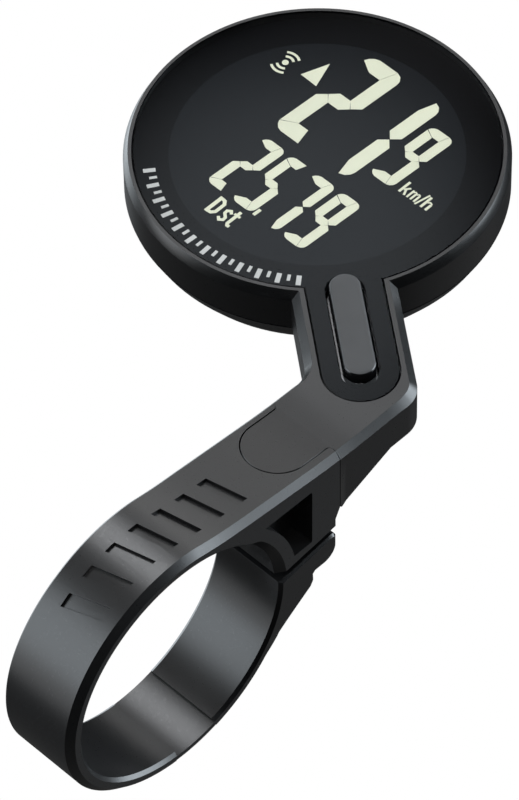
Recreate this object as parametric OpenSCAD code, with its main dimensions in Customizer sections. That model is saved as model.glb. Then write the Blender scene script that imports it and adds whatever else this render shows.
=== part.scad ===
// Round wireless cycling computer with an out-front handlebar clamp.
// Origin: centre of the clamp's bore, halfway across the band.
// +X runs along the handlebar to the rider's right, +Y points forward, +Z up.

/* [Handlebar clamp] */
// Diameter of the handlebar that the band fits
bar_d = 31.8; // [31.6:0.1:32]
// Radial gap between the closed band and the bar
bar_gap = 0.1; // [0.05:0.05:0.15]
// Thickness of the band
band_t = 2.15; // [1.9:0.05:2.5]
// Width of the band along the bar
band_w = 10.7; // [9.5:0.1:11.5]
// Bevel on the band's right outer edge
band_bevel = 0.85; // [0.3:0.05:1]
// Thickness of the web that the jaw bends on
web_t = 1.2; // [0.8:0.1:1.5]

/* [Arm] */
// Forward distance from the bar's axis to the joint with the computer
seam_y = 26; // [25.5:0.5:27]
// How far the arm's left side stands out past the band's
arm_extra = 0.45; // [0:0.05:0.6]

/* [Computer] */
// Outer diameter of the round case
head_d = 46.8; // [46:0.2:48]
// Diameter of the lens
lens_d = 44.6; // [44:0.2:44.8]
// Height of the case's straight side
wall_h = 6.2; // [5.8:0.2:6.6]
// Thickness of the computer from lens to battery cover
head_t = 12; // [12:0.2:13]
// Offset of the computer's centre to the left of the clamp's middle
head_x = 29.8; // [28:0.2:32]
// Offset of the computer's centre ahead of the bar's axis
head_y = 58.3; // [57:0.1:60]
// Height of the lens above the bar's axis
lens_z = 14.85; // [14.85:0.05:15]

/* [Neck and button] */
// Angle of the neck below the bar's direction, from the computer outwards
neck_angle = 37.6; // [36:0.1:39]
// Width of the neck
neck_w = 12.6; // [12.2:0.2:13]
// Width of the lens's tail along the neck
tail_w = 9.4; // [9:0.2:9.6]
// Distance from the computer's centre to the round end of the tail
tail_reach = 35.3; // [35:0.1:35.6]
// Width of the button's cap
cap_w = 3.9; // [3.6:0.1:4]
// How far the button's cap stands above the lens
cap_rise = 1; // [0.8:0.1:1.2]
// Travel of the button
cap_travel = 0.5; // [0.3:0.05:0.5]

/* [Battery] */
// Diameter of the coin cell
cell_d = 20; // [20:0.1:20.2]
// Thickness of the coin cell
cell_t = 3.2; // [3:0.1:3.2]
// Turn of the battery cover from closed to open, in degrees
cover_turn = 50; // [45:1:55]

/* [Hidden] */
$fn = 96;
eps = 0.01;
play = 0.06;                          // gap between pieces that are fixed together
run = 0.06;                           // radial gap of a running fit
bore_r = bar_d / 2 + bar_gap;
ring_r = bore_r + band_t;
band_x = band_w / 2;
arm_x = -band_x - arm_extra;          // left side of the arm
rim_z = lens_z + 0.1;                 // top of the rim around the lens
floor_z = lens_z - wall_h;            // lower edge of the straight side
back_z = lens_z - head_t;             // outer face of the battery cover
head_r = head_d / 2;
lens_r = lens_d / 2;
lens_t = 1.2;
ledge_z = lens_z - lens_t - 0.15;     // seat of the lens's adhesive
inner_r = lens_r - 1.1;               // opening under the lens
wall_r = head_r - 1.5;                // inside of the straight side
web_a = [-95.5, -73.4];               // angles that the living hinge spans
split_a = 5;
split_slope = 0.139;                  // tilt of the clamp's split
jaw_top_z = 0.1;                      // jaw's split face at the bore
split_gap = 1.1;
screw_y = 21.8;                       // clamp screw, ahead of the bar's axis
screw_r = 1.5;
screw_seat_z = -2.6;                  // jaw's seat for the washer
washer_t = 0.5;
screw_tip_z = 5.4;
screw_head_r = 2.75;
screw_head_h = 3;
insert_z = [2.15, 5.6];
insert_r = 2.1;
arm_slope = atan2(-2.05, 19.5);       // fall of the arm's top, in degrees
tongue_r = 4.15;
tongue_x = -0.65;
tongue_y = 21.55;
pcb_z = [9.6, 10.4];
pcb_r = 20.6;
lcd_z = [12.3, 13.3];
lcd_apothem = 18.7;
plunger_r = 1;
cell_top_z = 9.1;
cover_r = 12.6;
tab_z = [4.85, 5.65];
tab_reach = 13.3;
button_near = 22.9;                   // centres of the button's round ends,
button_far = 34.7;                    // measured along the neck
switch_at = 29;                       // switch, measured along the neck
seal_z = [12, 12.2];                  // button's rubber seal
flange_z = seal_z[1] + cap_travel + 0.05;   // underside of the button's flange
flange_t = 0.4;
screw_seat = back_z + 4.7;            // seat of the case screws' heads

// ---- places ----------------------------------------------------------------

// Moves children from the bore's centre to the computer's centre, Z unchanged
module at_head() {
  translate([-head_x, head_y, 0]) children();
}

// As at_head, with +X turned to point along the neck towards the clamp
module along_neck() {
  at_head() rotate([0, 0, -neck_angle]) children();
}

// Extrudes a (Y, Z) outline along X from x0 to x1
module across(x0, x1) {
  translate([x0, 0, 0]) rotate([90, 0, 90]) linear_extrude(x1 - x0) children();
}

// A disc or post standing at the current place between two heights
module post(r, z0, z1, fn = 64) {
  translate([0, 0, z0]) cylinder(r = r, h = z1 - z0, $fn = fn);
}

module slab(z0, z1) {
  translate([0, 0, z0]) linear_extrude(z1 - z0) children();
}

// ---- outlines --------------------------------------------------------------

// A bar with round ends, from a to b along X
module stadium(a, b, w) {
  translate([a, -w / 2]) square([b - a, w]);
  translate([a, 0]) circle(d = w, $fn = 64);
  translate([b, 0]) circle(d = w, $fn = 64);
}

// The round lens with its tail, in the neck's own directions
module lens_outline(r, w, reach = tail_reach) {
  circle(r = r, $fn = 160);
  stadium(0, reach, w);
}

// Sector of a ring in the (Y, Z) plane
module ring_sector(r0, r1, a0, a1) {
  far = 2 * r1;
  mid = (a0 + a1) / 2;
  steps = [a0, (a0 + mid) / 2, mid, (mid + a1) / 2, a1];
  intersection() {
    difference() {
      circle(r = r1, $fn = 160);
      circle(r = r0, $fn = 160);
    }
    polygon(concat([[0, 0]], [for (a = steps) [far * cos(a), far * sin(a)]]));
  }
}

module octagon(apothem) {
  rotate(22.5) circle(r = apothem / cos(22.5), $fn = 8);
}

// Neck, elbow and stub seen from above, in the bore's directions
elbow_r = 4;
neck_dir = [cos(neck_angle), -sin(neck_angle)];
neck_side = [sin(neck_angle), cos(neck_angle)];
head_at = [-head_x, head_y];
elbow_c = [band_x - elbow_r,
  head_y + (neck_w / 2 - elbow_r - neck_side[0] * (band_x - elbow_r + head_x)) / neck_side[1]];
module neck_outline() {
  left_foot = head_at + neck_dir * tail_reach - neck_side * neck_w / 2;
  start = head_at + neck_dir * 15;
  polygon([[arm_x, seam_y], [band_x, seam_y], [band_x, elbow_c[1]],
    elbow_c + neck_side * elbow_r, start + neck_side * neck_w / 2,
    start - neck_side * neck_w / 2, left_foot, [arm_x, left_foot[1] - 0.1]]);
  translate(elbow_c) circle(r = elbow_r, $fn = 64);
}

// Top of the arm at a distance y ahead of the bar's axis
function arm_top(y) = rim_z + tan(arm_slope) * (y - seam_y);
arm_root = [3, 17.9];                 // (Y, Z) where the arm leaves the band
arm_knee = 8.5;                       // Y where its steeper first run ends
knee_slope = atan2(arm_top(arm_knee) - arm_root[1], arm_knee - arm_root[0]);

module tongue_outline(grow = 0) {
  r = tongue_r + grow;
  translate([tongue_x, tongue_y]) circle(r = r, $fn = 96);
  translate([tongue_x - r, tongue_y]) square([2 * r, seam_y - tongue_y + 0.3]);
}

// The tongue's wedge, between its flat seat and the arm's sloping top
module tongue(grow = 0) {
  intersection() {
    slab(lens_z - 1.1, ring_r) tongue_outline(grow);
    across(arm_x, band_x)
      polygon([[tongue_y - 6, lens_z - 2], [tongue_y - 6, arm_top(tongue_y - 6)],
        [seam_y + 0.3, arm_top(seam_y)], [seam_y + 0.3, lens_z - 2]]);
  }
}

// A square bar along Y that bevels an edge lying on it
module edge_bar(length, bevel) {
  rotate([0, 45, 0]) cube([bevel * sqrt(2), length, bevel * sqrt(2)], center = true);
}

// ---- computer: case and lens ------------------------------------------------

module case_wall() {
  at_head() rotate_extrude($fn = 160)
    polygon([[wall_r, floor_z], [head_r, floor_z], [head_r, rim_z - 1.2],
      [head_r - 0.6, rim_z], [inner_r, rim_z], [inner_r, ledge_z - 1],
      [wall_r, ledge_z - 1]]);
}

module stub_body() {
  underside = [[seam_y, 5.2], [34.4, floor_z], [head_y + 30, floor_z],
    [head_y + 30, rim_z], [seam_y, rim_z]];
  intersection() {
    slab(0, rim_z) neck_outline();
    across(-head_x - 20, band_x) polygon(underside);
  }
}

module neck_bevels() {
  b = 0.9;
  length = tail_reach - head_r + 1;
  for (side = [-1, 1])
    along_neck() translate([head_r + length / 2, side * neck_w / 2, rim_z])
      rotate([0, 0, 90]) edge_bar(length, b);
  translate([band_x, seam_y + 5, rim_z]) edge_bar(14, b);
}

module screw_post_places() {
  at_head() for (k = [0:3]) rotate([0, 0, 90 * k]) translate([20.3, 0, 0]) children();
}

module tenon(grow = 0) {
  translate([tongue_x - 4 - grow, seam_y - eps, 8.2 - grow])
    cube([8 + 2 * grow, 5.4 + grow, 4 + 2 * grow]);
}

module arm_screw_places() {
  for (side = [-1, 1]) translate([tongue_x + side * 2.3, seam_y + 2.8, 0]) children();
}

module upper_case() color("#3f4145") {
  difference() {
    union() {
      difference() {
        union() {
          case_wall();
          stub_body();
        }
        along_neck() slab(floor_z - 1, ledge_z - 1) lens_outline(wall_r, 7.8, tail_reach + 1);
        neck_bevels();
      }
      tongue();
      intersection() {
        screw_post_places() post(1.5, pcb_z[0] + 0.3, ledge_z);
        at_head() post(wall_r + 0.5, floor_z, ledge_z);
      }
    }
    along_neck() slab(ledge_z, rim_z + 1) lens_outline(lens_r + play, tail_w + 2 * play);
    along_neck() slab(ledge_z - 3, rim_z) lens_outline(inner_r, 7);
    screw_post_places() post(0.8, floor_z, 12.6, 32);
    tenon(play);
    arm_screw_places() post(1.1, 3, 9, 32);
    arm_screw_places() post(2, 3, 6.6, 32);
  }
}

module lens() color("#101113") {
  along_neck() difference() {
    slab(lens_z - lens_t, lens_z) lens_outline(lens_r, tail_w);
    slab(lens_z - 2, rim_z) stadium(button_near, button_far, cap_w + 0.7);
  }
}

module lens_tape() color("#222222") {
  along_neck() slab(ledge_z, ledge_z + 0.15) difference() {
    lens_outline(lens_r - 0.15, tail_w - 0.3);
    lens_outline(inner_r + 0.05, 7.1);
  }
}

// ---- computer: display ------------------------------------------------------

module lcd_glass() color("#2c3032") {
  at_head() slab(lcd_z[0], lcd_z[1]) octagon(lcd_apothem);
}

module lcd_reflector() color("#8d9092") {
  at_head() slab(lcd_z[0] - 0.2, lcd_z[0] - 0.02) intersection() {
    octagon(lcd_apothem - 0.3);
    square([60, 30.6], center = true);
  }
}

// One bar of a seven-segment digit, length l and thickness t, with pointed ends
module segment_bar(l, t) {
  g = 0.06;
  polygon([[g, 0], [t / 2, t / 2 - g], [l - t / 2, t / 2 - g], [l - g, 0],
    [l - t / 2, g - t / 2], [t / 2, g - t / 2]]);
}

// Lit bars of each digit, in the order a b c d e f g
LIT = [[1,1,1,1,1,1,0], [0,1,1,0,0,0,0], [1,1,0,1,1,0,1], [1,1,1,1,0,0,1],
  [0,1,1,0,0,1,1], [1,0,1,1,0,1,1], [1,0,1,1,1,1,1], [1,1,1,0,0,0,0],
  [1,1,1,1,1,1,1], [1,1,1,1,0,1,1]];

// A digit with its lower left corner at the origin
module digit(n, w, h, t) {
  bw = w - t;
  bh = (h - t) / 2;
  places = [[t / 2, t / 2 + 2 * bh, 0], [t / 2 + bw, t / 2 + bh, 90],
    [t / 2 + bw, t / 2, 90], [t / 2, t / 2, 0], [t / 2, t / 2, 90],
    [t / 2, t / 2 + bh, 90], [t / 2, t / 2 + bh, 0]];
  for (i = [0:6]) if (LIT[n][i] == 1)
    translate([places[i][0], places[i][1]]) rotate(places[i][2])
      segment_bar(places[i][2] == 0 ? bw : bh, t);
}

module lcd_segments() color("#e6e3cf") {
  lower = [2, 5, 7, 9];
  at_head() slab(lcd_z[1], lcd_z[1] + 0.08) {
    translate([-7, -0.6]) digit(2, 6.2, 16.8, 2);
    translate([-0.1, -0.6]) digit(1, 6.2, 16.8, 2);
    translate([6.6, 2]) digit(9, 4.1, 10.8, 1.3);
    for (i = [0:3]) translate([-6.6 + 4.25 * i, -12.4]) digit(lower[i], 3.6, 9.9, 1.25);
    translate([1.2, -12.6]) square([0.5, 1.3]);
    polygon([[-10.3, 7.8], [-9, 11.3], [-7.6, 7.8]]);
    translate([-13.1, 7.8]) circle(r = 0.45, $fn = 32);
    translate([11.3, 2.3]) square([4.9, 1.5]);
    translate([-3.5, -15.6]) square([4.2, 2.2]);
  }
}

module lcd_frame() color("#d8d8d2") {
  strip_y = 16.5;
  difference() {
    at_head() post(inner_r - 0.15, pcb_z[1] + 0.05, lcd_z[1] - 0.1, 128);
    at_head() slab(lcd_z[0] - 0.25, rim_z) octagon(lcd_apothem + play);
    at_head() slab(pcb_z[1] - 1, rim_z) square([26, 28], center = true);
    at_head() for (side = [-1, 1])
      translate([-10.2, side * strip_y - 0.95, pcb_z[1] - 1]) cube([20.4, 1.9, 4]);
    screw_post_places() post(1.6, pcb_z[1] - 1, rim_z);
    along_neck() slab(pcb_z[1] - 1, rim_z) translate([19, -3.6]) square([6, 7.2]);
  }
}

module zebra_strips() color("#c86a74") {
  at_head() for (side = [-1, 1])
    translate([-10, side * 16.5 - 0.8, pcb_z[1]]) cube([20, 1.6, lcd_z[0] - pcb_z[1]]);
}

// ---- computer: electronics --------------------------------------------------

module pcb() color("#1d5a3a") {
  difference() {
    along_neck() slab(pcb_z[0], pcb_z[1]) lens_outline(pcb_r, 6.6, tail_reach - 1.5);
    screw_post_places() post(1.65, pcb_z[0] - 1, pcb_z[1] + 1);
  }
}

module processor() color("#161616") {
  at_head() translate([-3.5, -3.5, pcb_z[1]]) cube([7, 7, 0.9]);
}

module radio_antenna() color("#e8e4d8") {
  at_head() translate([-9.5, 8, pcb_z[1]]) cube([7, 2, 1.1]);
}

module crystal() color("#c9ccd0") {
  at_head() translate([5.5, -1, pcb_z[1]]) cube([3.2, 2.5, 0.8]);
}

module chip_parts() color("#b59a6a") {
  at_head() for (i = [0:5]) translate([-9 + 3 * i, -9, pcb_z[1]]) cube([1.6, 0.8, 0.6]);
}

module switch_body() color("#2a2a2a") {
  along_neck() translate([switch_at, 0, 0]) difference() {
    translate([-2.25, -2.25, pcb_z[1]]) cube([4.5, 4.5, 1]);
    post(plunger_r + run, pcb_z[1] + 0.15, pcb_z[1] + 2, 48);
  }
}

module switch_plunger() color("#d9d9d9") {
  along_neck() translate([switch_at, 0, 0]) post(plunger_r, 11.15, 11.95, 48);
}

module button_cap() color("#55575b") {
  top = lens_z + cap_rise;
  along_neck() {
    slab(flange_z + 0.15, top - 0.4) stadium(button_near, button_far, cap_w);
    slab(top - 0.4, top) stadium(button_near, button_far, cap_w - 0.5);
    slab(flange_z, flange_z + flange_t) stadium(button_near, button_far, cap_w + 1.7);
    translate([switch_at, 0, 0]) post(1.2, 11.98, flange_z + 0.25, 48);
  }
}

module button_seal() color("#1b1b1b") {
  along_neck() slab(seal_z[0], seal_z[1]) difference() {
    stadium(button_near + 0.3, button_far, 6.6);
    translate([switch_at, 0]) circle(r = 1.3, $fn = 48);
  }
}

module coin_cell() color("#c4c7ca") {
  at_head() {
    post(cell_d / 2, cell_top_z - cell_t, cell_top_z - 0.35, 96);
    post(cell_d / 2 - 1, cell_top_z - 0.35, cell_top_z, 96);
  }
}

module contact_minus() color("#d4b04a") {
  at_head() translate([-6, -1.5, cell_top_z + 0.05]) cube([12, 3, 0.4]);
}

module contact_plus() color("#d4b04a") {
  at_head() rotate([0, 0, 140]) translate([cell_d / 2 + 0.1, -2, 6.8]) cube([0.3, 4, 2.8]);
}

// ---- computer: back ---------------------------------------------------------

module rear_case() color("#2b2c2f") {
  collar_r = cover_r + 0.1;
  difference() {
    union() {
      at_head() rotate_extrude($fn = 160)
        polygon([[15.6, back_z], [18.6, back_z], [20.8, back_z + 1.5],
          [22.2, back_z + 3.5], [head_r - 0.1, floor_z - 0.05], [wall_r - 0.1, floor_z - 0.05],
          [wall_r - 0.1, floor_z + 0.6], [wall_r - 1.1, floor_z + 0.6],
          [wall_r - 1.1, back_z + 4.4], [19, back_z + 2.6], [15.6, back_z + 2.6]]);
      at_head() post(15.7, back_z, tab_z[1] + 0.9, 128);
      intersection() {
        screw_post_places() post(1.9, screw_seat - 1.4, floor_z + 0.2);
        at_head() post(wall_r - 0.4, back_z, floor_z + 1);
      }
      along_neck() slab(floor_z, floor_z + 0.5) stadium(wall_r - 1, tail_reach + 1, 7.6);
    }
    at_head() post(collar_r, back_z - 1, floor_z, 128);
    at_head() post(14, back_z - 1, back_z + 0.9, 128);
    at_head() post(tab_reach + 0.2, tab_z[0] - 0.1, tab_z[1] + 0.1, 128);
    at_head() for (k = [0:2]) rotate([0, 0, 120 * k + cover_turn])
      slab(back_z - 1, tab_z[0]) cover_tab(tab_reach + 0.15, 16);
    screw_post_places() post(0.95, back_z - 1, floor_z + 1, 32);
    screw_post_places() post(1.75, back_z - 1, screw_seat, 48);
  }
}

// Outline of one bayonet tab, half as wide as the angle either side of +X
module cover_tab(reach, half) {
  ring = reach * 1.2;
  intersection() {
    circle(r = reach, $fn = 128);
    polygon([[0, 0], [ring * cos(half), -ring * sin(half)], [ring * cos(half), ring * sin(half)]]);
  }
}

module case_gasket() color("#171717") {
  along_neck() slab(floor_z + 0.64, floor_z + 0.9) difference() {
    lens_outline(wall_r - 0.15, 7.5, tail_reach + 1);
    lens_outline(wall_r - 0.9, 6, tail_reach + 1);
  }
}

module case_screws() color("#9da0a4") {
  screw_post_places() {
    post(1.6, screw_seat - 1.1, screw_seat, 32);
    post(0.75, screw_seat, 12.4, 32);
  }
}

module battery_cover() color("#2b2c2f") {
  difference() {
    union() {
      at_head() post(13.9, back_z, back_z + 0.8, 128);
      at_head() post(cover_r - 0.05, back_z + 0.7, tab_z[1], 128);
      at_head() for (k = [0:2]) rotate([0, 0, 120 * k])
        slab(tab_z[0], tab_z[1]) cover_tab(tab_reach, 13);
    }
    at_head() post(11.2, back_z + 1.9, tab_z[1] + 1, 96);
    at_head() translate([-8, -1.1, back_z - 1]) cube([16, 2.2, 1.9]);
  }
}

module cover_o_ring() color("#141414") {
  at_head() rotate_extrude($fn = 128)
    translate([11.9, tab_z[1] + 0.42]) circle(r = 0.4, $fn = 24);
}

// ---- clamp ------------------------------------------------------------------

// Solid of revolution about the bar's axis with the band's section
module band_ring() {
  lead = 0.4;
  rotate([0, 90, 0]) rotate_extrude($fn = 180)
    polygon([[bore_r, -band_x + lead], [bore_r + lead, -band_x], [ring_r - 0.2, -band_x],
      [ring_r, -band_x + 0.2], [ring_r, band_x - band_bevel], [ring_r - band_bevel, band_x],
      [bore_r + lead, band_x], [bore_r, band_x - lead]]);
}

module bore_cut() {
  rotate([0, 90, 0]) cylinder(r = bore_r, h = 40, center = true, $fn = 180);
}

module sector_cut(a0, a1) {
  across(-20, 20) ring_sector(bore_r - 2, ring_r + 2, a0, a1);
}

function split_z(y) = jaw_top_z + split_slope * (y - bore_r);

module arm_screw_tips(r) {
  arm_screw_places() post(r, 8, 11.6, 32);
}

module clamp_arm() color("#3f4145") {
  pocket_d = 3.2;
  block = [arm_root, [arm_knee, arm_top(arm_knee)], [seam_y, rim_z], [seam_y, 5.2], [25.4, 3.9],
    [25.4, split_z(25.4) + split_gap], [bore_r - 1, split_z(bore_r - 1) + split_gap],
    [bore_r - 2, 6], [arm_root[0], bore_r - 0.5]];
  pocket = [[13, 12.4], [21.3, 11.9], [21.3, 3.5], [18, 3.3]];
  difference() {
    union() {
      intersection() {
        band_ring();
        sector_cut(split_a, 360 + web_a[0]);
      }
      across(arm_x, band_x) polygon(block);
      tenon();
    }
    bore_cut();
    translate([band_x, arm_knee, arm_top(arm_knee)]) rotate([arm_slope, 0, 0])
      translate([0, 10, 0]) edge_bar(20, 0.8);
    translate([band_x, arm_root[0], arm_root[1]]) rotate([knee_slope, 0, 0])
      translate([0, 2.8, 0]) edge_bar(6, 0.8);
    tongue(play);
    for (x = [arm_x - 1, band_x - pocket_d]) across(x, x + pocket_d + 1)
      difference() {
        polygon(pocket);
        circle(r = 18.6, $fn = 128);
      }
    translate([0, screw_y, 0]) post(insert_r + 0.02, insert_z[0] - 2, insert_z[1], 64);
    translate([0, screw_y, 0]) post(screw_r + 0.15, insert_z[0], screw_tip_z + 1.2, 48);
    arm_screw_tips(0.8);
  }
}

module arm_screws() color("#8f9296") {
  arm_screw_places() {
    post(1.8, 5.2, 6.6, 32);
    post(0.75, 6.6, 11, 32);
  }
}

module threaded_insert() color("#c9a45c") {
  translate([0, screw_y, 0]) difference() {
    post(insert_r, insert_z[0], insert_z[1], 64);
    post(screw_r + run, insert_z[0] - 1, insert_z[1] + 1, 64);
  }
}

module living_hinge() color("#3f4145") {
  end_gap = 0.05;
  across(-band_x + 0.1, band_x - 0.3)
    ring_sector(ring_r - 0.2 - web_t, ring_r - 0.2, web_a[0] + end_gap, web_a[1] - end_gap);
}

module clamp_jaw() color("#3f4145") {
  front = 25.4;
  corner_r = 2.2;
  lug_floor = -2.8;
  lug = [[bore_r - 1, split_z(bore_r - 1)], [front, split_z(front)],
    [front, lug_floor + corner_r], [front - corner_r, lug_floor], [21.6, lug_floor],
    [21.6, -4.1], [21.1, -5], [15.6, -8.8], [13, -9]];
  difference() {
    union() {
      intersection() {
        band_ring();
        sector_cut(web_a[1], 0);
      }
      across(-band_x, band_x) {
        polygon(lug);
        translate([front - corner_r, lug_floor + corner_r]) circle(r = corner_r, $fn = 48);
      }
    }
    bore_cut();
    translate([0, screw_y, 0]) post(screw_r + 0.2, -12, 4, 48);
    translate([0, screw_y, 0]) post(screw_head_r + 0.3, -12, screw_seat_z, 64);
  }
}

module screw_washer() color("#a4a7ab") {
  translate([0, screw_y, 0]) difference() {
    post(screw_head_r + 0.1, screw_seat_z - washer_t - 0.02, screw_seat_z - 0.02, 64);
    post(screw_r + run, -12, 4, 64);
  }
}

module clamp_screw() color("#8d9094") {
  under_head = screw_seat_z - washer_t - 0.04;
  translate([0, screw_y, 0]) difference() {
    union() {
      post(screw_r, under_head - 0.1, screw_tip_z, 64);
      post(screw_head_r, under_head - screw_head_h, under_head, 64);
    }
    translate([0, 0, under_head - screw_head_h - 1]) cylinder(r = 1.44, h = 2.6, $fn = 6);
  }
}

upper_case();
lens();
lens_tape();
lcd_glass();
lcd_segments();
lcd_reflector();
lcd_frame();
zebra_strips();
pcb();
processor();
radio_antenna();
crystal();
chip_parts();
switch_body();
switch_plunger();
button_cap();
button_seal();
coin_cell();
contact_plus();
contact_minus();
rear_case();
case_gasket();
case_screws();
battery_cover();
cover_o_ring();
arm_screws();
clamp_arm();
threaded_insert();
living_hinge();
clamp_jaw();
screw_washer();
clamp_screw();
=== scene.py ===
import math

import bmesh
import bpy
from mathutils import Matrix, Vector
from mathutils.geometry import tessellate_polygon


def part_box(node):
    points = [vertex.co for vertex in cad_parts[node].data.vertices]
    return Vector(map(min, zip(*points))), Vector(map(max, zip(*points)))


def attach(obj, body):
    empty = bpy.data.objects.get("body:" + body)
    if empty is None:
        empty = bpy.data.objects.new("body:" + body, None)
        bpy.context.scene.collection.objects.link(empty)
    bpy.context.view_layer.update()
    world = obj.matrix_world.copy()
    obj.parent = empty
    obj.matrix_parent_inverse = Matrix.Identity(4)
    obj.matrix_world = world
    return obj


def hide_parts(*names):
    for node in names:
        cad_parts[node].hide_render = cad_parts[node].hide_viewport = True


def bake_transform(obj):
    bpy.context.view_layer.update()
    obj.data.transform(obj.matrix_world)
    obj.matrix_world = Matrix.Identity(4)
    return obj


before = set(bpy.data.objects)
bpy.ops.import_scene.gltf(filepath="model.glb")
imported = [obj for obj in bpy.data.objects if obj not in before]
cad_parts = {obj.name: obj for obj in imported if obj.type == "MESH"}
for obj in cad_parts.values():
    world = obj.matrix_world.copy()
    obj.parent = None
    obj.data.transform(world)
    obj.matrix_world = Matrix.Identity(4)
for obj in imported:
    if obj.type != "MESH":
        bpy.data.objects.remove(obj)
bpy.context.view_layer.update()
MM = 0.001  # everything is in millimetres and degrees until a mesh is made


def box_mm(node):
    low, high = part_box(node)
    return low / MM, high / MM


# ---- places and sizes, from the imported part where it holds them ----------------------

cover_low, cover_high = box_mm("battery_cover")
HEAD = Vector(((cover_low.x + cover_high.x) / 2, (cover_low.y + cover_high.y) / 2))
LENS_Z = box_mm("lens")[1].z
RIM_Z = LENS_Z + 0.1
FLOOR_Z = LENS_Z - 6.2  # underside of the upper case
PRINT_Z = 13.9  # top of the border print, under the lens
SEAT_Z = 13.6  # the tongue's lap over the arm

HEAD_R, LENS_R, WINDOW_R = 23.4, 22.3, 17.9
NECK_TURN = 37.6  # angle between the neck and the handlebar
NECK_HALF = 6.3
NECK = math.radians(-NECK_TURN)
U = Vector((math.cos(NECK), math.sin(NECK)))  # along the neck
N = Vector((-U.y, U.x))  # across it
TAIL_W, TAIL_REACH = 9.4, 35.3  # the lens's tail
SLOT_NEAR, SLOT_FAR = 22.9, 34.7  # centres of the button slot's two ends
SLOT_W, CAP_W = 4.6, 3.9  # width of the slot and of the button in it
ELBOW_R, ELBOW_Y = 4, 34.4
FOOT_R = 4.0  # concave corner between the neck's left side and the arm

BORE, RING = 16.0, 18.144  # inner and outer radius of the band
BAND_X = box_mm("clamp_jaw")[1].x  # half the band's width
ARM_X = box_mm("clamp_arm")[0].x  # left side of the arm
ARM_STEP = ARM_X + BAND_X  # how far the arm's left side stands out from the band's
ARM_END, JAW_END = 264.5, -73.4  # where the two halves stop, at the hinge web
MOUTH = 4.6  # where the bore of the fixed half stops
SEAM_Y, SEAM_Z = 26.0, 5.2  # underside of the seam between computer and arm
SCREW_Y = sum(corner.y for corner in box_mm("clamp_screw")) / 2
ARM_SLOPE = 0.1051  # rise of the arm's top for each millimetre towards the band
BEND_HALF = 4.4  # half the length of the soft bend where that slope begins
# (y, z) where the arm's top runs on to the round of the band
KNEE = [(8.5, 16.84), (6.4, 17.17), (4.4, 17.58), (2.6, 17.96), (0.6, 18.14)]

TONGUE = Vector((-0.65, 21.55))
TONGUE_R = 4.15
ROOT_R = 0.55  # corners where the tongue leaves the seam
ROOT_Y = (24.2, 22.9)

NECK_BEVEL, RIGHT_BEVEL, LEFT_BEVEL, TONGUE_BEVEL = 0.95, 0.85, 0.25, 0.06
ARM_BEVEL, BORE_BEVEL, JAW_BEVEL, JAW_LEFT, FINE_BEVEL = 0.8, 0.42, 0.3, 0.2, 0.02
RIM_BEVEL, RIM_DROP = 0.6, 1.2  # the rim's bevel is deeper than it is wide
SOFT_CASE, SOFT_ARM, SOFT_JAW, SOFT_INNER = 0.09, 0.1, 0.07, 0.08  # rounding of the edges
SHARP = 32.0  # edges that bend less are shaded smooth
WELD, SLIVER = 2e-7, 1e-8  # metres: points this near are one, edges this short go


# ---- loops of points -----------------------------------------------------------------


def spaced(first, last, n):
    return [first + (last - first) * k / n for k in range(n + 1)]


def polar(radius, angle):
    return Vector((radius * math.cos(math.radians(angle)), radius * math.sin(math.radians(angle))))


def arc(x, y, radius, first, last, n):
    """n + 1 points round (x, y) from one angle to the other."""
    points = []
    for angle in spaced(first, last, n):
        turn = math.radians(angle)
        points.append(Vector((x + radius * math.cos(turn), y + radius * math.sin(turn))))
    return points


def circle(radius, n=144):
    return [HEAD + p for p in arc(0, 0, radius, 0, 360 - 360 / n, n - 1)]


def along_neck(points):
    """From the neck's own directions to the part's."""
    return [HEAD + U * p.x + N * p.y for p in points]


def stadium(near, far, width, n=24):
    """The outline of a slot along the neck."""
    ends = arc(far, 0, width / 2, -90, 90, n) + arc(near, 0, width / 2, 90, 270, n)
    return along_neck(ends)


def lens_loop(radius, width, reach=TAIL_REACH):
    """The round lens with its tail, counter-clockwise, always the same number of points."""
    angle = math.degrees(math.asin(width / 2 / radius))
    x = radius * math.cos(math.radians(angle))
    points = arc(0, 0, radius, angle, 360 - angle, 144)
    points += [Vector((s, -width / 2)) for s in spaced(x, reach, 6)[1:-1]]
    points += arc(reach, 0, width / 2, -90, 90, 28)
    points += [Vector((s, width / 2)) for s in spaced(reach, x, 6)[1:-1]]
    return along_neck(points)


def smooth_curve(knots, n):
    """Catmull-Rom through knots, n points a span, without the first and last knot."""
    knots = [Vector(p) for p in knots]
    points = []
    for a, b, c, d in zip(knots, knots[1:], knots[2:], knots[3:]):
        for j in range(n):
            t = j / n
            square = (2 * a - 5 * b + 4 * c - d) * t * t
            cube = (3 * b - a - 3 * c + d) * t * t * t
            points.append(0.5 * (2 * b + (c - a) * t + square + cube))
    points.append(knots[-2])
    return points


def ccw(points):
    pairs = zip(points[-1:] + points[:-1], points)
    area = sum(a.x * b.y - b.x * a.y for a, b in pairs)
    return points if area > 0 else points[::-1]


def inset(points, distance):
    """Moves each edge of a closed counter-clockwise loop inwards by its own distance.
    distance is one number, or one for each edge from point i to point i + 1."""
    n = len(points)
    each = distance if isinstance(distance, list) else [distance] * n
    moved = []
    for i, p in enumerate(points):
        e1, e2 = (p - points[i - 1]).normalized(), (points[(i + 1) % n] - p).normalized()
        n1, n2 = Vector((-e1.y, e1.x)), Vector((-e2.y, e2.x))
        d1, d2 = each[i - 1], each[i]
        cross = n1.x * n2.y - n1.y * n2.x
        if abs(cross) < 0.05:  # nearly straight
            moved.append(p + (n1 + n2).normalized() * (d1 + d2) / 2)
        else:
            x, y = (d1 * n2.y - d2 * n1.y) / cross, (d2 * n1.x - d1 * n2.x) / cross
            moved.append(p + Vector((x, y)))
    return moved


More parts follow.
